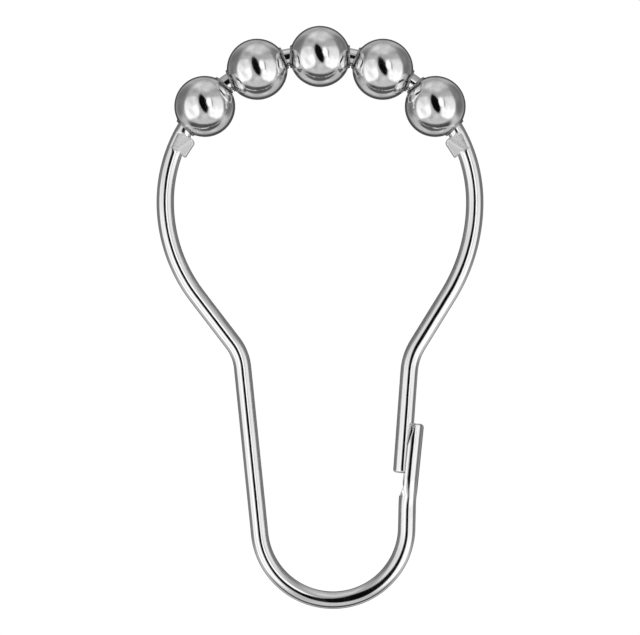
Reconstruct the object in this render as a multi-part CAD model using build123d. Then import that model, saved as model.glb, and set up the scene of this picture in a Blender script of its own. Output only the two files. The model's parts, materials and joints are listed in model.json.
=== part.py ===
from build123d import *
import os
from math import asin, atan2, cos, degrees, hypot, radians, sin, sqrt

# Roller hook for a shower curtain: a pear of spring wire, with hollow balls threaded over its head.
# Sizes are millimetres and degrees. The hook lies in the XZ plane with +Z up, and its face looks along -Y.
# The origin is the centre of the head: the level of its widest points, half way between its two sides.
# Angles of slants, arm, riser and trough are from the vertical. Radii, runs and widths of the bent wire are
# taken along its centreline, unless a comment says otherwise.

# Wire and head
wire_diameter = 2.4
head_width = 45.0            # outside, across the wire
crown_flatness = 1.05        # how far the crown's radius exceeds half the head's width

# Roller balls
ball_count = 5
ball_diameter = 8.4
ball_wall = 0.4
collar_wall = 0.2
collar_height = 0.23         # how far a collar stands out of the ball, at its outside
collar_root_slope = 0.2      # leg of the slope between collar and ball
collar_gap = 0.1             # left between the collars of neighbours, where they come nearest
bore_clearance = 0.08        # left between wire and bore, all round the slanting wire

# Right side: the upper arm, down to the plain tip
right_side_radius = 24.3
right_slant_angle = 31.7
right_slant_run = 8.0
right_neck_radius = 8.2
arm_angle = 4.2
arm_run = 14.0               # straight, from the neck to the tip
tip_rounding = 0.4

# Left side
left_side_radius = 21.3
left_slant_angle = 37.4
left_slant_run = 8.1
left_neck_radius = 6.7

# Bottom bend and the riser on its right
bend_radius = 10.15
riser_angle = 1.2
riser_run = 3.1
crank_radius = 15.0

# Trough: the pressed end of the lower arm, which cups the tip from outside
trough_angle = 5.8
trough_width = 3.4           # from front to back
trough_crest = 1.05          # from the groove's axis out to where the trough is widest
trough_floor = 1.1           # wall behind the groove
floor_step = 0.04            # how far the trough's flat outside stands proud of the wire
seat_clearance = 0.1         # left between tip and groove
lip_offset = 0.35            # from the groove's axis out to the edges of the two lips
tip_cover = 7.0              # how much of the arm lies in the trough
lip_slant_run = 3.0          # top stretch, where the lips fall away
lip_slant_drop = 0.7
tip_margin = 1.8             # groove left beyond the tip
press_run = 1.4              # from round wire to full trough
corner_rounding = 0.6
lip_corner_rounding = 0.3

# Stop ears: pinched out of the wire below the two end balls
ear_thickness = 1.2          # at its edge, away from the wire
ear_slope_angle = 12.0       # of each flat, as the ear thickens towards the wire
ear_length = 3.3
ear_rise = 0.95              # out of the wire, at the shoulder
ear_tip_rise = 0.6           # out of the wire, at the free lower tip
ear_shoulder_place = 0.15    # shoulder's height over the ear's middle, as a share of its length
ear_root_place = 0.35        # lower root's depth under the middle, as a share of its length
ear_gap = 0.35               # from the end ball's collar to the ear
ear_corner_rounding = 0.35
ear_edge_rounding = 0.25
pinch_angle = 45.0           # slope at the ends of the pinched flats

# Fits and derived sizes
wire_radius = wire_diameter / 2
half_width = (head_width - wire_diameter) / 2
crown_radius = half_width + crown_flatness
ball_radius = ball_diameter / 2
groove_radius = wire_radius + seat_clearance
trough_reach = groove_radius + trough_floor
wire_reach = trough_reach - floor_step
die_width = wire_diameter + ear_rise + ear_length    # more than the wire and its ear together


# Ball fit: the wire crosses each bore at a small angle, so the bore is wider than the wire
bore_middle = ball_radius - ball_wall
bore_angle = asin(bore_middle / half_width)
bore_half_length = (ball_wall + collar_height) / 2
bore_radius = wire_radius / cos(bore_angle) + bore_half_length * sin(bore_angle) + bore_clearance
collar_radius = bore_radius + collar_wall
collar_root = sqrt(ball_radius**2 - collar_radius**2)
collar_reach = collar_root + collar_height


def row_radius(arc_radius):
    """Radius that ball centres lie on, when each ball's axis is a chord of an arc of the wire."""
    return sqrt(arc_radius**2 - bore_middle**2)


def half_pitch(arc_radius):
    """Half the angle between neighbours on an arc, with their collars the stated gap apart."""
    centres = row_radius(arc_radius)
    inner_rim = centres - collar_radius
    return atan2(collar_reach, inner_rim) + asin(collar_gap / 2 / hypot(collar_reach, inner_rim))


# Head: the crown arc carries all balls but the two end ones, and each side arc carries one
crown_half_angle = (ball_count - 2) * half_pitch(crown_radius)
side_radius = (half_width - crown_radius * sin(crown_half_angle)) / (1 - sin(crown_half_angle))
side_centre_x = half_width - side_radius
crown_centre_z = -(crown_radius - side_radius) * cos(crown_half_angle)
end_ball_angle = crown_half_angle + half_pitch(side_radius)
collar_end_angle = end_ball_angle + atan2(collar_reach, row_radius(side_radius))
ear_angle = collar_end_angle + (ear_gap + ear_length / 2) / side_radius


def heading(lean):
    """Unit vector that points down, turned by an angle in degrees towards +X."""
    return Vector(sin(radians(lean)), 0, -cos(radians(lean)))


def run_on(line, length):
    """Straight run that goes on from the end of a line."""
    return Line(line @ 1, line @ 1 + (line % 1) * length)


def make_upper_arm():
    """Centreline from the head's widest point on the right, down to the tip."""
    with BuildLine(Plane.XZ) as arm:
        shoulder = JernArc((half_width, 0), (0, -1), right_side_radius, -right_slant_angle)
        slant = run_on(shoulder, right_slant_run)
        neck = JernArc(slant @ 1, slant % 1, right_neck_radius, right_slant_angle - arm_angle)
        run_on(neck, arm_run)
    return arm.line


def make_lower_arm(start):
    """Centreline from the trough, round the bottom bend, to the head's widest point on the left.

    The left shank is the straight line that touches both the bottom bend and the left neck.
    """
    slant_in = radians(left_slant_angle)
    slant_end = (
        Vector(left_side_radius - half_width - left_side_radius * cos(slant_in), 0,
               -left_side_radius * sin(slant_in))
        + heading(left_slant_angle) * left_slant_run
    )
    neck_centre = slant_end + heading(left_slant_angle - 90) * left_neck_radius
    with BuildLine(Plane.XZ) as arm:
        crank = JernArc(start, heading(-trough_angle), crank_radius, trough_angle - riser_angle)
        riser = run_on(crank, riser_run)
        bend_centre = riser @ 1 + heading(-riser_angle - 90) * bend_radius
        across = bend_centre - neck_centre
        radii = bend_radius + left_neck_radius
        shank_run = sqrt(across.length**2 - radii**2)
        shank_angle = degrees(atan2(across.X, -across.Z) - atan2(radii, shank_run))
        bend = JernArc(riser @ 1, riser % 1, bend_radius, riser_angle + shank_angle - 180)
        shank = run_on(bend, shank_run)
        neck = JernArc(shank @ 1, shank % 1, left_neck_radius, left_slant_angle - shank_angle)
        slant = run_on(neck, left_slant_run)
        JernArc(slant @ 1, slant % 1, left_side_radius, -left_slant_angle)
    return arm.line


def make_head():
    """Centreline over the head, from its widest point on the left to that on the right."""
    side_turn = 90 - degrees(crown_half_angle)
    with BuildLine(Plane.XZ) as head:
        left = JernArc((-half_width, 0), (0, 1), side_radius, -side_turn)
        crown = JernArc(left @ 1, left % 1, crown_radius, -2 * degrees(crown_half_angle))
        JernArc(crown @ 1, crown % 1, side_radius, -side_turn)
    return head.line


class Trough:
    """The pressed end of the lower arm, in a frame that starts at the tip's end.

    In that frame X points out of the head, and Y goes up along the groove's axis.
    """

    def __init__(self, tip_end):
        self.up = heading(-trough_angle) * -1
        self.out = heading(90 - trough_angle)
        self.face = Plane(origin=tip_end, x_dir=self.out, z_dir=(0, -1, 0))
        self.wire_start = self.point(wire_reach - wire_radius, -tip_margin - press_run)

    def point(self, out, up):
        return self.face.origin + self.out * out + self.up * up

    def section(self, out, up):
        return Plane(origin=self.point(out, up), x_dir=self.out, z_dir=self.up)

    def bar(self):
        """Round wire that swells to the trough's width."""
        wide = self.section(trough_crest, -tip_margin) * Circle(trough_width / 2)
        narrow = self.section(wire_reach - wire_radius, -tip_margin - press_run) * Circle(wire_radius)
        return loft([narrow, wide], ruled=True) + extrude(wide, amount=tip_margin + tip_cover)

    def outline(self):
        """What the pressing leaves, in face view: ramp, lips, their slant, the top and a flat outside."""
        start = -tip_margin - press_run
        ramp_in = -seat_clearance
        ramp_slope = (lip_offset - ramp_in) / press_run
        below = start - press_run
        with BuildSketch(self.face) as view:
            with BuildLine():
                Polyline(
                    (ramp_in - ramp_slope * press_run, below),
                    (lip_offset, -tip_margin),
                    (lip_offset, tip_cover - lip_slant_run),
                    (lip_offset + lip_slant_drop, tip_cover),
                    (trough_reach, tip_cover),
                    (trough_reach, below),
                    close=True,
                )
            make_face()
            fillet(view.vertices().sort_by(Axis.Y)[-2:].sort_by(Axis.X)[-1], corner_rounding)
            fillet(view.vertices().group_by(Axis.Y)[-1].sort_by(Axis.X)[0], lip_corner_rounding)
        return extrude(view.sketch, amount=trough_width, both=True)

    def groove(self):
        """Round groove for the tip, with a ball end beyond it."""
        nose = groove_radius - tip_margin
        length = tip_cover - nose + wire_diameter
        hollow = extrude(self.section(0, nose) * Circle(groove_radius), amount=length)
        return hollow + self.section(0, nose) * Sphere(groove_radius)

    def solid(self):
        return (self.bar() & self.outline()) - self.groove()


def ear_plane():
    """Frame of the right ear: X points into the head, and Y goes up along the wire."""
    outward = Vector(sin(ear_angle), 0, cos(ear_angle))
    middle = Vector(side_centre_x, 0, 0) + outward * side_radius
    return Plane(origin=middle, x_dir=outward * -1, z_dir=(0, 1, 0))


def ear_face():
    """Back flat of the right ear: Y goes up along the wire, and Z points out of the metal."""
    ear = ear_plane()
    edge = ear.origin + ear.x_dir * (wire_radius + ear_rise) + ear.z_dir * (ear_thickness / 2)
    slope = radians(ear_slope_angle)
    return Plane(origin=edge, x_dir=ear.x_dir * cos(slope) - ear.z_dir * sin(slope),
                 z_dir=ear.x_dir * sin(slope) + ear.z_dir * cos(slope))


def ear_top(inward):
    """Height in the ear's frame at which the end ball's collar, with its gap, leaves the ear room."""
    ear = ear_plane()
    collar = ball_plane(ball_count).offset(collar_reach + ear_gap)
    into_room = (ear.origin + ear.x_dir * inward - collar.origin).dot(collar.z_dir)
    return -into_room / ear.y_dir.dot(collar.z_dir)


def make_ear():
    """Leaf on the right side: its outline in face view, between two sloping flats, with rounded rims."""
    shoulder = wire_radius + ear_rise
    upper_corner = wire_radius + ear_rise / 2
    with BuildSketch(ear_plane()) as leaf:
        with BuildLine():
            Polyline(
                (0, ear_top(0)),
                (upper_corner, ear_top(upper_corner)),
                (shoulder, ear_length * ear_shoulder_place),
                (wire_radius + ear_tip_rise, -ear_length / 2),
                (0, -ear_length * ear_root_place),
                close=True,
            )
        make_face()
        outer = leaf.vertices().sort_by(Axis.X)[2:]
        fillet(outer, ear_corner_rounding)
    press = extrude(ear_face() * Rectangle(2 * die_width, 2 * die_width), amount=wire_diameter)
    ear = extrude(leaf.sketch, amount=wire_diameter, both=True) - press - mirror(press, Plane.XZ)
    flats = ear.faces().sort_by(Axis.Y)
    return fillet(flats[0].edges() + flats[-1].edges(), ear_edge_rounding)


def make_pinch():
    """What the dies press away in front of and behind the wire, at the right ear."""
    die = ear_face() * Rectangle(2 * die_width, ear_length - wire_diameter / 2)
    back = extrude(die, amount=wire_radius, taper=-pinch_angle)
    return back + mirror(back, Plane.XZ)


def make_wire():
    """The bent wire with its trough and both ears, as one solid."""
    upper_arm = make_upper_arm()
    tip_end = upper_arm @ 1
    trough = Trough(tip_end)
    path = Wire(make_lower_arm(trough.wire_start).edges() + make_head().edges() + upper_arm.edges())
    start = Plane(origin=path @ 0, z_dir=path % 0)
    wire = sweep(start * Circle(wire_radius), path=path)
    tip_edge = wire.edges().filter_by(GeomType.CIRCLE).sort_by_distance(tip_end)[0]
    wire = fillet(tip_edge, min(tip_rounding, wire_radius * 0.9))
    pinch, ear = make_pinch(), make_ear()
    wire -= pinch + mirror(pinch, Plane.YZ)
    return wire + trough.solid() + ear + mirror(ear, Plane.YZ)


def make_ball():
    """One hollow ball about the Z axis, with a short collar round each bore."""
    inner_radius = ball_radius - ball_wall
    inner_end = sqrt(inner_radius**2 - bore_radius**2)
    with BuildSketch(Plane.XZ) as profile:
        with BuildLine():
            ThreePointArc((collar_radius, collar_root), (ball_radius, 0), (collar_radius, -collar_root))
            Polyline((collar_radius, -collar_root), (collar_radius, -collar_reach),
                     (bore_radius, -collar_reach), (bore_radius, -inner_end))
            ThreePointArc((bore_radius, -inner_end), (inner_radius, 0), (bore_radius, inner_end))
            Polyline((bore_radius, inner_end), (bore_radius, collar_reach),
                     (collar_radius, collar_reach), (collar_radius, collar_root))
        make_face()
        levels = profile.vertices().group_by(Axis.Y)
        chamfer(levels[1] + levels[-2], min(collar_root_slope, collar_height))
    return revolve(profile.sketch, axis=Axis.Z)


def ball_plane(number):
    """Frame of a ball, counted from the left: Z is its spin axis, a chord of the wire."""
    step = number - (ball_count + 1) / 2
    if number in (1, ball_count):
        side = 1 if step > 0 else -1
        centre_x, centre_z, arc, turn = side * side_centre_x, 0, side_radius, side * end_ball_angle
    else:
        centre_x, centre_z, arc, turn = 0, crown_centre_z, crown_radius, step * 2 * half_pitch(crown_radius)
    outward = Vector(sin(turn), 0, cos(turn))
    along = Vector(cos(turn), 0, -sin(turn))
    centre = Vector(centre_x, 0, centre_z) + outward * row_radius(arc)
    return Plane(origin=centre, x_dir=outward, z_dir=along)


def main():
    os.makedirs("parts", exist_ok=True)
    export_step(make_wire(), "parts/hook_wire.step")
    ball = make_ball()
    for number in range(1, ball_count + 1):
        export_step(ball_plane(number) * ball, f"parts/roller_ball_{number}.step")


main()
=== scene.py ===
import json
from math import asin, atan2, cos, degrees, hypot, pi, radians, sin, sqrt, tan

import bpy
import numpy as np
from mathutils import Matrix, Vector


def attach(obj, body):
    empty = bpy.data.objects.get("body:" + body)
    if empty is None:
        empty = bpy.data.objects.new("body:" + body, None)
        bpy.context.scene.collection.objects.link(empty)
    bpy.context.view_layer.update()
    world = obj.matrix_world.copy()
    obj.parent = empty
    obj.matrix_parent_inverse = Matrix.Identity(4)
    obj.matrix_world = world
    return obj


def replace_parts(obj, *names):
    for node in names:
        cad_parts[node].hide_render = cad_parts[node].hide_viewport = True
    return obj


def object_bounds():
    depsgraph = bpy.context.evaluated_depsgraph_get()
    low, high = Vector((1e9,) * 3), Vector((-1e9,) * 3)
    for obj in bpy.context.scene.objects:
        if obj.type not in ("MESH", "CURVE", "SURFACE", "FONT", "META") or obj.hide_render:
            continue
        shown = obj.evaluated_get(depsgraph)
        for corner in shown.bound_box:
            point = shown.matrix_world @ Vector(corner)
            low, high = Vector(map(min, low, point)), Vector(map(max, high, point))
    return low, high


# A roller hook for a shower curtain, in bright plated steel: the bent wire with its pressed clasp and stop
# ears, and five hollow balls over the head. Metres and degrees, in the frame of the solids: +Z up, face
# towards -Y. The wire, the clasp and the balls are drawn again as fine surfaces, because facets show in a
# mirror finish.

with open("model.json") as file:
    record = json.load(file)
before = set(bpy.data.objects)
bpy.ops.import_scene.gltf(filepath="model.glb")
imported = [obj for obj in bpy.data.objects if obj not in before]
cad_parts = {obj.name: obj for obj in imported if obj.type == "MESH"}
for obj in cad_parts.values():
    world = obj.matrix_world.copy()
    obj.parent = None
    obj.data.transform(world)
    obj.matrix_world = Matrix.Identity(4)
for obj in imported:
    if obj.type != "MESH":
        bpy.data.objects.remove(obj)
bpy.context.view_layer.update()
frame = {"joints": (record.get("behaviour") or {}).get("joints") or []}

# Wire and head, in the same sizes as the solids
wire_radius = 0.0012
half_width = 0.0213
crown_flatness = 0.00105
right_side_radius, right_slant_angle = 0.0243, 31.7
right_slant_run, right_neck_radius = 0.0080, 0.0082
arm_angle, arm_run, tip_rounding = 4.2, 0.0140, 0.0004
left_side_radius, left_slant_angle = 0.0213, 37.4
left_slant_run, left_neck_radius = 0.0081, 0.0067
bend_radius = 0.01015
riser_angle, riser_run, crank_radius = 1.2, 0.0031, 0.015

# Trough of the clasp. Its places are measured from the middle of the plain tip's end: levels outwards,
# heights up along the trough.
trough_angle = 5.8
trough_half_width = 0.0017
trough_crest = 0.00105
groove_radius = 0.0013
trough_reach, floor_step = 0.0024, 0.00004
lip_offset, lip_rounding, rim_rounding = 0.00035, 0.00012, 0.00025
lip_slant_run, lip_slant_drop = 0.0030, 0.0007
corner_rounding, lip_corner_rounding = 0.0006, 0.0003
tip_cover, tip_margin, press_run = 0.0070, 0.0018, 0.0014
swell_before, swell_after = 0.0014, 0.0012

# Ramp that leads from the round wire down to the groove: how far it bites into the wire, and the share of
# its half width over which each edge is rounded
ramp_bite, ramp_edge_share = 0.00002, 0.12
# Half width that the groove's points keep on the ramp, where there is no groove, so that none fall together,
# and the least radius that an angle is worked out from
least_half_width, least_radius = 0.00001, 1e-9

# Stop ears. Places along an ear are shares of its length, its corner lies at a share of its rise, and its
# outline is averaged over a share of the rounding.
ear_length = 0.0033
ear_rise, ear_tip_rise = 0.00095, 0.0006
ear_shoulder_place, ear_root_place, ear_corner_share = 0.22, 0.35, 0.7
ear_gap = 0.00035
ear_half_thickness = 0.0006
ear_slope = radians(12)
ear_over_wire = 0.0001
ear_rounding, ear_rounding_share = 0.0005, 0.9
ear_rim_share, ear_rim_power = 0.15, 0.6
ear_face_scale, ear_heart_scale = 0.8, 0.02
ear_crease_angle = radians(32)
ear_crease_height, ear_crease_width = 0.00003, 0.00022

# Dies: how sharply the round wire gives way to their flats, the depth of metal that they have to move
# before their marks show in full, and how many times deeper than the plating's own the marks are
die_power = 10
die_fade = 0.00012
die_marks = 2.0

# Balls. A painted shade darkens the plating over the last of the ball, in the hollow before the collar's
# root.
ball_radius, ball_wall = 0.0042, 0.0004
bore_clearance = 0.00008
collar_wall, collar_height, collar_gap = 0.0002, 0.00023, 0.0001
collar_root_radius = 0.0002
collar_shade_run = 0.00035

# Patterns in the plating, in waves per metre. Lines are (along the piece, round it), and the marks of a die
# are (across the hook, through it, up it).
cloud_scale, pit_scale, swell_scale = 450.0, 5200.0, 420.0
line_scale = (400.0, 9000.0, 1.0)
die_mark_scale = (1500.0, 6000.0, 5000.0)
# The part of each pattern's run from 0 to 1 that sets the tone, the haze and the haze of the lines
tone_span, haze_span, line_span = (0.3, 0.7), (0.35, 0.75), (0.55, 0.8)
# How much darker the clouds make the metal, and how much more blue than red it throws back
cloud_shade, cold_tint = 0.04, 1.008

# Fineness of the surfaces: steps along the wire, and how many points or rows each part has
wire_step, fine_step = 0.0003, 0.00005
round_the_wire, round_the_ball = 72, 128
tip_rows = 12
ramp_rows, nose_rows, groove_rows, corner_rows = 60, 50, 60, 16
oval_points, groove_points, lip_points = 61, 33, 15
ear_outline_points, ear_rim_rows, ear_face_rows = 120, 25, 12
ball_points, root_points, rim_points, hollow_points = 48, 8, 13, 40


def arc(radius, turn):
    """A run of the wire that turns evenly, clockwise as seen from the front where turn is above zero."""
    return radius * abs(radians(turn)), radians(turn)


def straight(length):
    """A run of the wire that doesn't turn."""
    return length, 0.0


def follow(runs, start, heading, s):
    """Points (x, z) and headings at distances s along joined runs. A heading is clockwise from straight up.

    Within a run the heading grows evenly with distance. The point lies one chord from the run's start: the
    distance times sin(h)/h, in the direction half way round, where h is half of the turn so far.
    """
    runs = np.array(runs)
    ends = np.concatenate([[0.0], np.cumsum(runs[:, 0])])
    headings = heading + np.concatenate([[0.0], np.cumsum(runs[:, 1])])
    bends = runs[:, 1] / runs[:, 0]

    def chord(run, distance):
        turned = bends[run] * distance
        middle = headings[run] + turned / 2
        length = distance * np.sinc(turned / 2 / pi)
        return length[:, None] * np.stack([np.sin(middle), np.cos(middle)], 1), headings[run] + turned

    chords = chord(np.arange(len(runs)), runs[:, 0])[0]
    corners = np.array(start) + np.concatenate([[[0.0, 0.0]], np.cumsum(chords, 0)])
    s = np.atleast_1d(s)
    run = np.clip(np.searchsorted(ends, s, side="right") - 1, 0, len(runs) - 1)
    offset, turned_to = chord(run, s - ends[run])
    return corners[run] + offset, turned_to


def length_of(runs):
    """Sum of the runs' lengths."""
    return sum(run[0] for run in runs)


def direction(angle):
    """Unit vector (x, z) at an angle in degrees, clockwise from straight up."""
    return np.array([sin(radians(angle)), cos(radians(angle))])


# Head: balls sit on chords of a crown arc, and the two end ones on chords of the side arcs
crown_radius = half_width + crown_flatness
bore_middle = ball_radius - ball_wall
bore_angle = asin(bore_middle / half_width)
bore_radius = (wire_radius / cos(bore_angle) + (ball_wall + collar_height) / 2 * sin(bore_angle)
               + bore_clearance)
collar_radius = bore_radius + collar_wall
collar_root = sqrt(ball_radius**2 - collar_radius**2)
collar_reach = collar_root + collar_height


def row_radius(arc_radius):
    """Distance of the balls' centres from the middle of the arc on whose chords they sit."""
    return sqrt(arc_radius**2 - bore_middle**2)


def half_pitch(arc_radius):
    """Half of the angle from ball to ball, at which the collars' inner rims stand one gap apart."""
    inner_rim = row_radius(arc_radius) - collar_radius
    return atan2(collar_reach, inner_rim) + asin(collar_gap / 2 / hypot(collar_reach, inner_rim))


ball_joints = [joint for joint in frame["joints"] if joint["child"].startswith("ball_")]
crown_half_angle = (len(ball_joints) - 2) * half_pitch(crown_radius)
side_radius = (half_width - crown_radius * sin(crown_half_angle)) / (1 - sin(crown_half_angle))
side_turn = 90 - degrees(crown_half_angle)
end_ball_angle = crown_half_angle + half_pitch(side_radius)
end_collar_angle = end_ball_angle + atan2(collar_reach, row_radius(side_radius))
ear_angle = end_collar_angle + (ear_gap + ear_length / 2) / side_radius

# The wire's runs, from the clasp round the bottom bend, up the left, over the head and down to the plain tip.
# The tip's end is found from the head, the wire's start from the tip, and the left shank is the straight
# line that touches the bottom bend and the left neck.
side_run = arc(side_radius, side_turn)
head_runs = [side_run, arc(crown_radius, 2 * degrees(crown_half_angle)), side_run]
arm_runs = [
    arc(right_side_radius, right_slant_angle), straight(right_slant_run),
    arc(right_neck_radius, arm_angle - right_slant_angle), straight(arm_run),
]
tip_end = follow(arm_runs, (half_width, 0), pi, length_of(arm_runs))[0][0]
trough_up = direction(trough_angle)
trough_out = direction(trough_angle + 90)
wire_level = trough_reach - floor_step - wire_radius
wire_start = tip_end + trough_out * wire_level - trough_up * (tip_margin + press_run)
wire_heading = radians(180 + trough_angle)

clasp_runs = [arc(crank_radius, riser_angle - trough_angle), straight(riser_run)]
bend_start = follow(clasp_runs, wire_start, wire_heading, length_of(clasp_runs))[0][0]
bend_centre = bend_start + direction(riser_angle - 90) * bend_radius
side_end = np.array([left_side_radius * (1 - cos(radians(left_slant_angle))) - half_width,
                     -left_side_radius * sin(radians(left_slant_angle))])
slant_end = side_end - direction(-left_slant_angle) * left_slant_run
neck_centre = slant_end - direction(90 - left_slant_angle) * left_neck_radius
across = bend_centre - neck_centre
shank_run = sqrt(across @ across - (bend_radius + left_neck_radius) ** 2)
shank_angle = degrees(atan2(across[0], -across[1]) - atan2(bend_radius + left_neck_radius, shank_run))
side_runs = [
    arc(bend_radius, 180 - riser_angle - shank_angle), straight(shank_run),
    arc(left_neck_radius, shank_angle - left_slant_angle), straight(left_slant_run),
    arc(left_side_radius, left_slant_angle),
]
wire_runs = clasp_runs + side_runs + head_runs + arm_runs
wire_length = length_of(wire_runs)
head_start = length_of(clasp_runs + side_runs)
head_length = length_of(head_runs)
ear_from_side = (pi / 2 - ear_angle) * side_radius
ear_places = head_start + ear_from_side, head_start + head_length - ear_from_side


def make_mesh(name, grid, caps, body, material, crease=40, along=None, pressed=0.0):
    """A mesh through a grid of points, rows by columns, whose columns close on themselves.

    caps says how the first and last rows end: "flat" spans the row with one face, and "loop" joins the last
    row to the first. The faces are turned outwards by the sign of the enclosed volume, which is the sum over
    the faces' triangles of a . (b x c) / 6. An edge that turns by more than crease degrees is sharp. The map
    holds metres round the columns and along the rows, as measured or as given by along, and pressed is how
    far each point bears the marks of a die, from 0 to 1; on the balls it also sets a painted shade.
    """
    rows, columns = grid.shape[:2]
    points = grid.reshape(-1, 3)
    loop = caps == "loop"
    i, j = np.meshgrid(np.arange(rows if loop else rows - 1), np.arange(columns), indexing="ij")
    i, j = i.ravel(), j.ravel()
    next_i, next_j = (i + 1) % rows, (j + 1) % columns
    quads = np.stack([i * columns + j, i * columns + next_j,
                      next_i * columns + next_j, next_i * columns + j], 1)
    a, b, c, d = (points[quads[:, k]] for k in range(4))
    volume = np.sum(a * np.cross(b, c)) + np.sum(a * np.cross(c, d))
    ends = [] if loop else [np.arange(columns)[::-1], np.arange(columns) + (rows - 1) * columns]
    for end in ends:
        hub, ring = points[end[0]], points[end]
        volume += np.sum(hub * np.cross(ring[1:-1], ring[2:]))
    turned = volume < 0
    if turned:
        quads, ends = quads[:, ::-1], [end[::-1] for end in ends]

    mesh = bpy.data.meshes.new(name)
    mesh.from_pydata(points.tolist(), [], quads.tolist() + [end.tolist() for end in ends])
    steps = np.linalg.norm(np.diff(grid, axis=0), axis=2).max(1)
    length = np.concatenate([[0.0], np.cumsum(steps)]) if along is None else along
    widths = np.linalg.norm(np.roll(grid, -1, 1) - grid, axis=2).max(0)
    width = np.concatenate([[0.0], np.cumsum(widths)])
    far = np.append(length, length[-1] + steps[-1])
    u = np.stack([far[i], far[i], far[i + 1], far[i + 1]], 1)
    v = np.stack([width[j], width[j + 1], width[j + 1], width[j]], 1)
    corners = np.stack([u, v], 2)
    if turned:
        corners = corners[:, ::-1]
    flat = np.zeros((len(mesh.loops), 2))
    flat[: corners.size // 2] = corners.reshape(-1, 2)
    mesh.uv_layers.new(name="metres").data.foreach_set("uv", flat.ravel())
    marks = np.broadcast_to(pressed, (rows, columns)).astype(float)
    mesh.attributes.new("pressed", "FLOAT", "POINT").data.foreach_set("value", marks.ravel())
    mesh.polygons.foreach_set("use_smooth", np.ones(len(mesh.polygons), bool))
    mesh.set_sharp_from_angle(angle=radians(crease))
    piece = bpy.data.objects.new(name, mesh)
    bpy.context.scene.collection.objects.link(piece)
    piece.data.materials.append(material)
    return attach(piece, body)


def in_face(points, out, level, depth):
    """Points in space: (x, z) in the hook's plane plus level times the unit vector out, with depth as y."""
    x = points[..., 0] + out[..., 0] * level
    z = points[..., 1] + out[..., 1] * level
    return np.stack([x, depth + 0 * x, z], -1)


def stations(length, places, reach):
    """Distances along the wire, close together within reach of each place and wider elsewhere."""
    coarse = np.linspace(0, length, int(length / wire_step) + 2)
    for place in places:
        coarse = coarse[abs(coarse - place) > reach]
        coarse = np.concatenate([coarse, np.arange(place - reach, place + reach, fine_step)])
    return np.unique(coarse[(coarse >= 0) & (coarse <= length)])


def trough_depth(y):
    """Half depth at a height in the trough's frame, from the wire's to the trough's by t t (3 - 2 t)."""
    low, high = -tip_margin - press_run - swell_before, -tip_margin + swell_after
    t = np.clip((y - low) / (high - low), 0, 1)
    return wire_radius + (trough_half_width - wire_radius) * t * t * (3 - 2 * t)


def pinched(inward):
    """Half thickness that the ear's dies leave, at a place that far in from the wire's middle.

    It is the half thickness at the ear's rim, plus the distance from there times the tangent of the slope.
    """
    return ear_half_thickness + (wire_radius + ear_rise - inward) * tan(ear_slope)


def make_wire(material):
    """Round wire along its runs, deeper where it meets the trough, pinched at the ears, rounded at the tip.

    The section is a circle: level = r cos(v), depth = r sin(v). The tip's radius falls by a quarter circle
    over the rounding. At an ear the depth d is pressed to d / (1 + (|d| / limit) ^ p) ^ (1 / p), which is d
    where it is well under the limit and the limit beyond, and the limit grows one for one with distance past
    the dies. The marks of the dies show by how far the metal has moved.
    """
    into_rounding = np.sin(np.linspace(0, pi / 2, tip_rows))
    s = np.unique(np.concatenate([stations(wire_length, ear_places, ear_length),
                                  wire_length - tip_rounding * (1 - into_rounding)]))
    points, headings = follow(wire_runs, wire_start, wire_heading, s)
    out = np.stack([-np.cos(headings), np.sin(headings)], 1)
    into_tip = np.clip(s - (wire_length - tip_rounding), 0, tip_rounding)
    radius = wire_radius - tip_rounding + np.sqrt(tip_rounding**2 - into_tip**2)
    v = np.linspace(0, 2 * pi, round_the_wire, endpoint=False)
    level = radius[:, None] * np.cos(v)
    depth = radius[:, None] * np.sin(v) * (trough_depth(-tip_margin - press_run - s) / wire_radius)[:, None]
    die_half_length = ear_length / 2 - wire_radius / 2
    from_ear = np.min([abs(s - place) for place in ear_places], axis=0)
    past_dies = np.clip(from_ear - die_half_length, 0, None)
    limit = np.maximum(pinched(-level), ear_half_thickness) + past_dies[:, None]
    flat_depth = depth / (1 + (abs(depth) / limit) ** die_power) ** (1 / die_power)
    marks = np.clip((abs(depth) - abs(flat_depth)) / die_fade, 0, 1)
    grid = in_face(points[:, None], out[:, None], level, flat_depth)
    piece = make_mesh("bent_wire", grid, "flat", "wire", material, along=s, pressed=marks)
    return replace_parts(piece, "hook_wire")


def quarter_round(distance, rounding):
    """How far a rounded corner stands back, at a distance from the end: r - sqrt(r^2 - (r - distance)^2)."""
    into = np.clip(rounding - distance, 0, rounding)
    return rounding - np.sqrt(rounding**2 - into**2)


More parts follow.
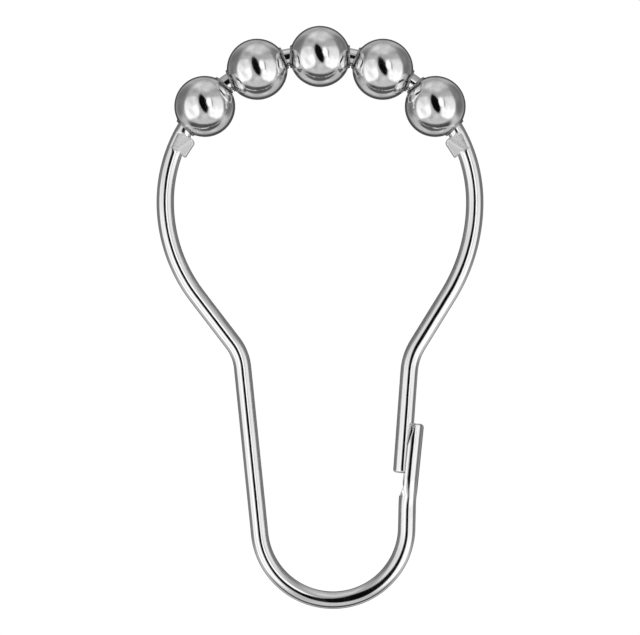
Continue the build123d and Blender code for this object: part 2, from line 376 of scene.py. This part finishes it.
def make_trough(material):
    """The pressed end that cups the tip: a C of outer oval, two lips and a round groove, carried up its axis.

    Along the axis, from the wire to the top, the section swells from the wire's circle to the oval, the lips'
    edge steps in by a ramp and falls away at the top, and the groove's radius opens from a ball end:
    sqrt(r^2 - depth^2) below the ball's centre. The oval is level = c + a cos(p), depth = b sin(p), with one
    a outside its crest and another inside, up to the angle where it meets the lips' edge,
    acos((edge - c) / a). The groove meets that edge at acos(edge / radius). With share as the place between
    outside and inside, each lip is rounded by sqrt(1 - (1 - 2 share)^2). Below the groove the section is
    whole, and the ramp's edges are rounded by sqrt(1 - (1 - share / edge share)^2).
    """
    top, start = tip_cover, -tip_margin - press_run
    nose = groove_radius - tip_margin
    y = np.concatenate([
        np.linspace(start, -tip_margin, ramp_rows),
        nose - groove_radius * np.cos(np.linspace(0, pi / 2, nose_rows)),
        np.linspace(nose, top - corner_rounding, groove_rows),
        top - corner_rounding * (1 - np.sin(np.linspace(0, pi / 2, corner_rows))),
    ])
    y = np.unique(np.round(y, decimals=9))[:, None]
    pressed = np.clip((y - start) / press_run, 0, 1)
    smooth = pressed * pressed * (3 - 2 * pressed)
    crest = wire_level + (trough_crest - wire_level) * smooth
    outside = wire_level + wire_radius + floor_step * smooth - crest
    inside = wire_radius + (trough_half_width - wire_radius) * smooth
    edge = wire_level - wire_radius + ramp_bite
    edge = edge + (lip_offset - edge) * pressed
    edge = edge + lip_slant_drop * np.clip((y - (top - lip_slant_run)) / lip_slant_run, 0, 1)
    edge = edge + quarter_round(top - y, lip_corner_rounding)
    rounding = lip_rounding * pressed
    edge = edge + rounding
    depth = trough_depth(y) - quarter_round(top - y, rim_rounding)
    groove = np.sqrt(np.clip(groove_radius**2 - np.clip(nose - y, 0, None) ** 2, 0, None))

    level_radius = np.where(edge > crest, outside, inside)
    oval_end = np.arccos(np.clip((edge - crest) / level_radius, -1, 1))
    edge = crest + level_radius * np.cos(oval_end)
    p = oval_end * np.linspace(-1, 1, oval_points)
    oval = np.stack([crest + np.where(np.cos(p) > 0, outside, inside) * np.cos(p), depth * np.sin(p)], 2)
    reach = trough_reach - quarter_round(top - y, corner_rounding)
    oval[..., 0] = np.minimum(oval[..., 0], reach)
    open_groove = groove > edge
    groove_end = np.arccos(np.clip(edge / np.maximum(groove, least_radius), -1, 1))
    turn = np.linspace(1, -1, groove_points)
    hollow = np.stack([np.where(open_groove, groove * np.cos(groove_end * turn), edge - rounding),
                       np.where(open_groove, groove * np.sin(groove_end * turn), rounding * turn / 2)
                       + least_half_width * turn], 2)
    share = (1 - np.cos(np.linspace(0, pi, lip_points)[1:-1])) / 2
    round_lip = np.sqrt(1 - (1 - 2 * share) ** 2)
    ramp_edge = np.sqrt(1 - np.clip(1 - share / ramp_edge_share, 0, 1) ** 2)
    level = edge - rounding * np.where(open_groove, round_lip, ramp_edge)
    outer, inner = abs(oval[:, -1:, 1]), abs(hollow[:, :1, 1])
    back_lip = np.stack([level, outer * (1 - share) + inner * share], 2)
    front_lip = back_lip[:, ::-1] * [1, -1]
    section = np.concatenate([oval, back_lip, hollow, front_lip], 1)
    places = tip_end + trough_up * y
    grid = in_face(places[:, None], trough_out[None, None], section[..., 0], section[..., 1])
    return make_mesh("clasp_trough", grid, "flat", "wire", material, crease=30)


def make_ear(name, side, material):
    """A pinched leaf below an end ball, as seen from the front, with its rim rounded like a coin's.

    The leaf's outline is a polygon whose corners are rounded by averaging along it, and its top edge stands
    one gap off the end ball's collar. The rim turns from one face to the other by a squared circle:
    scale = 1 - r (1 - cos(t) ^ q), share = sin(t) ^ q. The depth is that share of the thickness that the
    dies leave, with a crease across the leaf: height exp(-(distance / width)^2).
    """
    outward = np.array([sin(ear_angle), cos(ear_angle)])
    side_centre = np.array([half_width - side_radius, 0])
    middle = side_centre + outward * side_radius
    up = np.array([-outward[1], outward[0]])
    ball_out = np.array([sin(end_ball_angle), cos(end_ball_angle)])
    ball_along = np.array([cos(end_ball_angle), -sin(end_ball_angle)])
    ball_centre = side_centre + ball_out * row_radius(side_radius)
    collar_face = ball_centre + ball_along * (collar_reach + ear_gap)

    def top(inward):
        return ((middle - outward * inward - collar_face) @ ball_along) / -(up @ ball_along)

    corner = wire_radius + ear_rise * ear_corner_share
    outline = np.array([
        (-ear_over_wire, top(0)), (corner, top(corner)),
        (wire_radius + ear_rise, ear_length * ear_shoulder_place),
        (wire_radius + ear_tip_rise, -ear_length / 2), (-ear_over_wire, -ear_length * ear_root_place),
    ])
    closed = np.vstack([outline, outline[:1]])
    runs = np.concatenate([[0.0], np.cumsum(np.linalg.norm(np.diff(closed, axis=0), axis=1))])
    t = np.linspace(0, runs[-1], ear_outline_points, endpoint=False)
    rim = np.stack([np.interp(t, runs, closed[:, k]) for k in (0, 1)], 1)
    window = int(ear_outline_points * ear_rounding / runs[-1] * ear_rounding_share)
    weights = np.hanning(2 * window + 3)
    shifts = range(-window - 1, window + 2)
    rim = sum(w * np.roll(rim, k, 0) for w, k in zip(weights, shifts)) / weights.sum()
    heart = rim.mean(0)

    t = np.linspace(-pi / 2, pi / 2, ear_rim_rows)
    face = np.linspace(ear_face_scale, ear_heart_scale, ear_face_rows)
    scale = np.concatenate([face[::-1], 1 - ear_rim_share * (1 - np.cos(t) ** ear_rim_power), face])
    share = np.concatenate([-np.ones(ear_face_rows), np.sign(t) * abs(np.sin(t)) ** ear_rim_power,
                            np.ones(ear_face_rows)])
    flat = heart + scale[:, None, None] * (rim - heart)
    from_crease = abs((flat - heart) @ [cos(ear_crease_angle), -sin(ear_crease_angle)])
    crease = ear_crease_height * np.exp(-(from_crease / ear_crease_width) ** 2)
    depth = share[:, None] * (pinched(flat[..., 0]) + crease)
    points = middle - outward * flat[..., :1] + up * flat[..., 1:]
    grid = np.stack([side * points[..., 0], depth, points[..., 1]], -1)
    return make_mesh(name, grid, "flat", "wire", material, crease=50, pressed=1.0)


def arc_points(centre, radius, first, last, count):
    """Points of a ball's profile on an arc, from one angle to another: centre + radius (cos, sin)."""
    angle = np.radians(np.linspace(first, last, count))
    return np.stack([centre[0] + radius * np.cos(angle), centre[1] + radius * np.sin(angle)], 1)


def make_ball(joint, material):
    """A hollow ball with a short rolled collar round each bore: a closed profile turned about the spin axis.

    The profile is the ball's arc, a small hollow arc into the collar, the collar's half-round rim, the
    straight bore and the inner arc. Turning it gives centre + axis h + (right cos w + front sin w) r for each
    point (r, h). The collars are drawn by dies, whose marks come in by a square over the last of the ball,
    together with a painted shade that darkens the hollow before each collar.
    """
    root = collar_root_radius
    root_r = collar_radius + root
    root_h = sqrt((ball_radius + root) ** 2 - root_r**2)
    leave = degrees(atan2(root_h, root_r))
    rim = collar_wall / 2
    inner_radius = ball_radius - ball_wall
    inner_leave = degrees(atan2(sqrt(inner_radius**2 - bore_radius**2), bore_radius))
    upper = np.vstack([
        arc_points((0, 0), ball_radius, 0, leave, ball_points),
        arc_points((root_r, root_h), root, leave + 180, 180, root_points)[1:],
        arc_points((bore_radius + rim, collar_reach - rim), rim, 0, 180, rim_points),
        arc_points((0, 0), inner_radius, inner_leave, 0, hollow_points),
    ])
    lower = (upper * [1, -1])[::-1]
    profile = np.vstack([upper[:-1], lower[:-1]])
    # Share of the collar's die marks and of the painted shade in the hollow before it, from 0 on the ball to
    # 1 from the collar's root on
    into_collar = np.clip(1 + (abs(profile[:, 1]) - collar_root) / collar_shade_run, 0, 1)
    axis = np.array(joint["axis"]) / np.linalg.norm(joint["axis"])
    front = np.array([0.0, -1.0, 0.0])
    right = np.cross(axis, front)
    w = np.linspace(0, 2 * pi, round_the_ball, endpoint=False)
    spokes = np.cos(w)[:, None] * right + np.sin(w)[:, None] * front
    grid = (np.array(joint["pos_m"]) + profile[:, 1][:, None, None] * axis
            + profile[:, 0][:, None, None] * spokes[None])
    number = joint["child"].split("_")[-1]
    piece = make_mesh("plated_ball_" + number, grid, "loop", joint["child"], material, crease=35,
                      pressed=(into_collar**2)[:, None])
    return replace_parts(piece, "roller_ball_" + number)


class Nodes:
    """Short ways to add shader nodes to one material or world."""

    def __init__(self, owner):
        owner.use_nodes = True
        self.tree = owner.node_tree
        self.tree.nodes.clear()

    def add(self, kind, inputs=(), **settings):
        """A node, with its settings, and with each input either linked to a socket or set to a value."""
        node = self.tree.nodes.new("ShaderNode" + kind)
        for name, value in settings.items():
            setattr(node, name, value)
        for name, value in dict(inputs).items():
            socket = node.inputs[name]
            if isinstance(value, bpy.types.NodeSocket):
                self.tree.links.new(value, socket)
            else:
                socket.default_value = value
        return node

    def math(self, operation, first, second=0.0):
        """Result of an operation on one or two values."""
        return self.add("Math", {0: first, 1: second}, operation=operation).outputs[0]

    def ramp(self, value, low, high, to_low=0.0, to_high=1.0, curve="SMOOTHSTEP"):
        """Value that goes from to_low to to_high as value goes from low to high."""
        return self.add("MapRange", {"Value": value, "From Min": low, "From Max": high, "To Min": to_low,
                                     "To Max": to_high}, interpolation_type=curve).outputs["Result"]

    def blend(self, share, first, second):
        """Value that goes from first to second as share goes from 0 to 1."""
        return self.add("Mix", {0: share, 2: first, 3: second}, data_type="FLOAT").outputs[0]

    def noise(self, vector, scale, detail):
        """Soft noise from 0 to 1, with scale waves to each unit of the vector."""
        return self.add("TexNoise", {"Vector": vector, "Scale": scale, "Detail": detail}).outputs["Fac"]

    def scaled(self, vector, scale):
        """The vector with each of its parts multiplied by that of scale."""
        return self.add("Mapping", {"Vector": vector, "Scale": scale}).outputs["Vector"]

    def turned(self, vector, axis, angle):
        """The vector turned about an axis, by an angle in degrees."""
        return self.add("VectorRotate", {"Vector": vector, "Angle": radians(angle)},
                        rotation_type=axis + "_AXIS").outputs[0]


def plated(name, tone, roughness, haze, lines, pitting, waves, pressed_tone_and_painted_shade, pressed_roughness):
    """Bright plating: near-white metal with a cloudy haze, fine pitting and waves, and drawn lines along it.

    The height is grain lines + pits pitting + swell waves, in metres. Where a die has pressed the piece, its
    tone and roughness change by the pressed amounts, and short marks across the hook's face take the lines'
    place. On the balls the tone change is a painted shade, which darkens the hollow before each collar.
    """
    material = bpy.data.materials.new(name)
    nodes = Nodes(material)
    place = nodes.add("TexCoord").outputs["Object"]
    run = nodes.add("UVMap", uv_map="metres").outputs["UV"]
    pressed = nodes.add("Attribute", attribute_name="pressed").outputs["Fac"]
    cloud = nodes.noise(place, cloud_scale, detail=4.0)
    drawn = nodes.noise(nodes.scaled(run, line_scale), 1.0, detail=3.0)
    struck = nodes.noise(nodes.scaled(place, die_mark_scale), 1.0, detail=3.0)
    grain = nodes.blend(pressed, drawn, struck)
    pits = nodes.noise(place, pit_scale, detail=3.0)
    swell = nodes.noise(place, swell_scale, detail=1.0)

    shade = nodes.ramp(cloud, *tone_span, tone - cloud_shade, tone)
    # Pressed places change tone: paler where the wire's dies struck, and darker on the balls as a painted
    # shade before the collars
    shade = nodes.blend(pressed, shade, nodes.math("ADD", shade, pressed_tone_and_painted_shade))
    blue = nodes.math("MULTIPLY", shade, cold_tint)
    colour = nodes.add("CombineColor", {"Red": shade, "Green": shade, "Blue": blue}).outputs["Color"]
    rough = nodes.math("ADD", nodes.ramp(cloud, *haze_span, roughness, roughness + haze),
                       nodes.ramp(grain, *line_span, 0.0, haze))
    rough = nodes.math("ADD", rough, nodes.math("MULTIPLY", pressed, pressed_roughness))
    marks = nodes.math("ADD", nodes.math("MULTIPLY", grain, lines), nodes.math("MULTIPLY", pits, pitting))
    marks = nodes.math("MULTIPLY", marks, nodes.ramp(pressed, 0.0, 1.0, 1.0, die_marks))
    height = nodes.math("ADD", marks, nodes.math("MULTIPLY", swell, waves))
    bump = nodes.add("Bump", {"Height": height, "Strength": 1.0, "Distance": 1.0}).outputs["Normal"]
    skin = nodes.add("BsdfPrincipled", {"Base Color": colour, "Metallic": 1.0, "Roughness": rough,
                                        "Normal": bump})
    nodes.add("OutputMaterial", {"Surface": skin.outputs["BSDF"]})
    return material


def make_floor():
    """A wide sheet of white paper under and behind the hook: a level run, a quarter circle, an upright run.

    Along the sheet the profile is (y, z) = (start + r sin t, low + r (1 - cos t)) in the quarter circle,
    which the level run leads up to and the upright run goes on from. To the eye the paper is white where
    nothing keeps the light off it, and the share of its own shade leaves the hook's soft shadow on it.
    """
    shade_share, lit_paper, paper_tone = 0.08, 0.46, 0.95
    below_hook, half_size, sweep_radius, sweep_start, sweep_rows = 0.03, 3.0, 1.0, 1.0, 48
    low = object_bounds()[0].z - below_hook
    t = np.linspace(0, pi / 2, sweep_rows)
    y = np.concatenate([[-half_size], sweep_start + sweep_radius * np.sin(t), [sweep_start + sweep_radius]])
    z = low + np.concatenate([[0], sweep_radius * (1 - np.cos(t)), [half_size]])
    rows = len(y)
    points = np.stack([np.repeat([-half_size, half_size], rows), np.tile(y, 2), np.tile(z, 2)], 1)
    k = np.arange(rows - 1)
    faces = np.stack([k, k + rows, k + rows + 1, k + 1], 1)
    mesh = bpy.data.meshes.new("floor")
    mesh.from_pydata(points.tolist(), [], faces.tolist())
    mesh.polygons.foreach_set("use_smooth", np.ones(len(mesh.polygons), bool))
    floor = bpy.data.objects.new("floor", mesh)
    bpy.context.scene.collection.objects.link(floor)

    material = bpy.data.materials.new("floor_paper")
    nodes = Nodes(material)
    eye = nodes.add("LightPath").outputs["Is Camera Ray"]
    paper = nodes.add("BsdfDiffuse", {"Color": (paper_tone, paper_tone, paper_tone, 1)})
    strength = (1 - shade_share * lit_paper) / (1 - shade_share)
    white = nodes.add("Emission", {"Color": (1, 1, 1, 1), "Strength": strength})
    shown = nodes.math("MULTIPLY", eye, 1 - shade_share)
    mix = nodes.add("MixShader", {0: shown, 1: paper.outputs[0], 2: white.outputs[0]})
    nodes.add("OutputMaterial", {"Surface": mix.outputs[0]})
    mesh.materials.append(material)
    floor.visible_glossy = False


def on_card(nodes, way, across, height, azimuth, elevation, roll, softness, power):
    """How far a direction lies on a card in the studio, from 0 off it to 1 on it.

    The direction is turned until the card's middle is straight in front of the hook. There, its two angles
    are divided by the card's half sizes, and the card ends where the sum of their powers is one: an oval for
    a power of 2, and squarer above. The edge is soft over softness on each side of one. Angles are degrees.
    """
    way = nodes.turned(nodes.turned(nodes.turned(way, "Z", -azimuth), "X", elevation), "Y", roll)
    part = nodes.add("SeparateXYZ", {0: way}).outputs
    side = nodes.math("ARCTAN2", part["X"], nodes.math("MULTIPLY", part["Y"], -1.0))
    rise = nodes.math("ARCSINE", part["Z"])
    side = nodes.math("POWER", nodes.math("ABSOLUTE", nodes.math("DIVIDE", side, radians(across))), power)
    rise = nodes.math("POWER", nodes.math("ABSOLUTE", nodes.math("DIVIDE", rise, radians(height))), power)
    return nodes.ramp(nodes.math("ADD", side, rise), 1 + softness, 1 - softness)


def make_studio():
    """White surroundings to the eye. In the metal, a light room with two soft boxes and dark openings.

    The room's tone goes by height. The far cards are laid over it in their order, a slow noise makes all of
    that uneven, and the near cards are laid over the noise. Behind the hook the room is dark, so that the
    metal's outline shows, but for a white backdrop straight behind it. Angles are in degrees.
    """
    tone_below, tone_above = 0.58, 0.42
    clutter_scale = (2.4, 2.4, 1.6)
    back_tone, back_outer, back_inner = 0.07, 54, 36
    backdrop_tone, backdrop_outer, backdrop_inner = 1.0, 14, 9

    world = bpy.data.worlds.new("studio")
    bpy.context.scene.world = world
    nodes = Nodes(world)
    way = nodes.add("TexCoord").outputs["Generated"]
    part = nodes.add("SeparateXYZ", {0: way}).outputs
    from_behind = nodes.math("ARCCOSINE", part["Y"])
    soft_box = nodes.ramp(part["Z"], low=-0.6, high=0.5, to_low=1.3, to_high=0.75)
    # Each card's tone, half width, half height, azimuth, elevation, roll, softness and power
    far_cards = [
        (0.64, 86, 36, 0, -8, 0, 0.8, 4),         # pale band round the front
        (soft_box, 29, 36, -51, -8, 0, 0.6, 4),   # soft boxes on the left and on the right
        (soft_box, 29, 36, 51, -8, 0, 0.6, 4),
        (0.74, 28, 26, 0, 80, 0, 0.95, 2),        # ceiling
        (0.09, 48, 18, 0, -94, 0, 0.4, 2),        # dark ground
        (0.19, 27, 36, -106, 16, 0, 0.9, 3),      # dark openings past the soft boxes
        (0.19, 27, 36, 106, 16, 0, 0.9, 3),
    ]
    near_cards = [
        (0.35, 3, 17, 32, 7, 8, 0.8, 2),          # grey strip to the right of the light
        (0.003, 14.5, 38, -2, 5, 20, 0.35, 2),    # black oval, the slit in each ball
        (1.2, 9, 17, 19, 10, 8, 0.5, 2),          # small light beside it, the fleck in each ball
    ]

    room = nodes.ramp(part["Z"], low=-1.0, high=1.0, to_low=tone_below, to_high=tone_above)
    for tone, *shape in far_cards:
        room = nodes.blend(on_card(nodes, way, *shape), room, tone)
    clutter = nodes.noise(nodes.scaled(way, clutter_scale), 1.0, detail=3.0)
    clutter = nodes.ramp(clutter, low=0.3, high=0.7, to_low=0.72, to_high=1.2, curve="LINEAR")
    room = nodes.math("MULTIPLY", room, clutter)
    for tone, *shape in near_cards:
        room = nodes.blend(on_card(nodes, way, *shape), room, tone)
    back = nodes.ramp(from_behind, radians(back_outer), radians(back_inner))
    room = nodes.blend(back, room, back_tone)
    backdrop = nodes.ramp(from_behind, radians(backdrop_outer), radians(backdrop_inner))
    room = nodes.blend(backdrop, room, backdrop_tone)

    seen = nodes.add("LightPath").outputs
    mirrored = nodes.math("MULTIPLY", seen["Is Glossy Ray"], backdrop)
    eye = nodes.math("MAXIMUM", seen["Is Camera Ray"], mirrored)
    strength = nodes.blend(eye, room, 1.0)
    light = nodes.add("Background", {"Color": (1, 1, 1, 1), "Strength": strength})
    nodes.add("OutputWorld", {"Surface": light.outputs[0]})


def make_lamp(name, place, size, power):
    """A soft square lamp that looks at the hook's origin, and isn't seen in the metal."""
    data = bpy.data.lights.new(name, "AREA")
    data.size, data.energy = size, power
    lamp = bpy.data.objects.new(name, data)
    bpy.context.scene.collection.objects.link(lamp)
    lamp.location = place
    lamp.rotation_euler = (-lamp.location).to_track_quat("-Z", "Y").to_euler()
    lamp.visible_glossy = False


def make_camera():
    """Straight on to the hook's face, as the photo shows it, with the hook filling the picture's height.

    It stands off by the width that it shows, times the lens's length over the sensor's width.
    """
    lens, sensor_width = 100, 36
    picture_width, picture_height = 640, 635
    room_round_hook = 1.09
    low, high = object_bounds()
    data = bpy.data.cameras.new("camera")
    data.lens, data.sensor_width = lens, sensor_width
    camera = bpy.data.objects.new("camera", data)
    bpy.context.scene.collection.objects.link(camera)
    shown_height = (high.z - low.z) * room_round_hook
    shown_width = shown_height * picture_width / picture_height
    camera.location = ((low.x + high.x) / 2, -shown_width * lens / sensor_width, (low.z + high.z) / 2)
    camera.rotation_euler = (pi / 2, 0, 0)
    bpy.context.scene.camera = camera


wire_plating = plated("wire_plating", tone=0.90, roughness=0.06, haze=0.07, lines=2.5e-6, pitting=2.0e-6,
                      waves=8.0e-6, pressed_tone_and_painted_shade=0.06, pressed_roughness=0.42)
# The balls' pressed tone is a painted shade that darkens the hollow before each collar
ball_plating = plated("ball_plating", tone=0.89, roughness=0.06, haze=0.08, lines=1.0e-6, pitting=2.0e-6,
                      waves=1.6e-5, pressed_tone_and_painted_shade=-0.5, pressed_roughness=0.08)

make_wire(wire_plating)
make_trough(wire_plating)
make_ear("stop_ear_left", -1, wire_plating)
make_ear("stop_ear_right", 1, wire_plating)
for joint in ball_joints:
    make_ball(joint, ball_plating)

make_camera()
make_floor()
make_studio()
make_lamp("soft_key", place=(-0.35, -0.5, 0.45), size=0.5, power=2.0)
make_lamp("soft_fill", place=(0.45, -0.35, 0.2), size=0.5, power=1.0)
bpy.context.scene.view_settings.view_transform = "Standard"
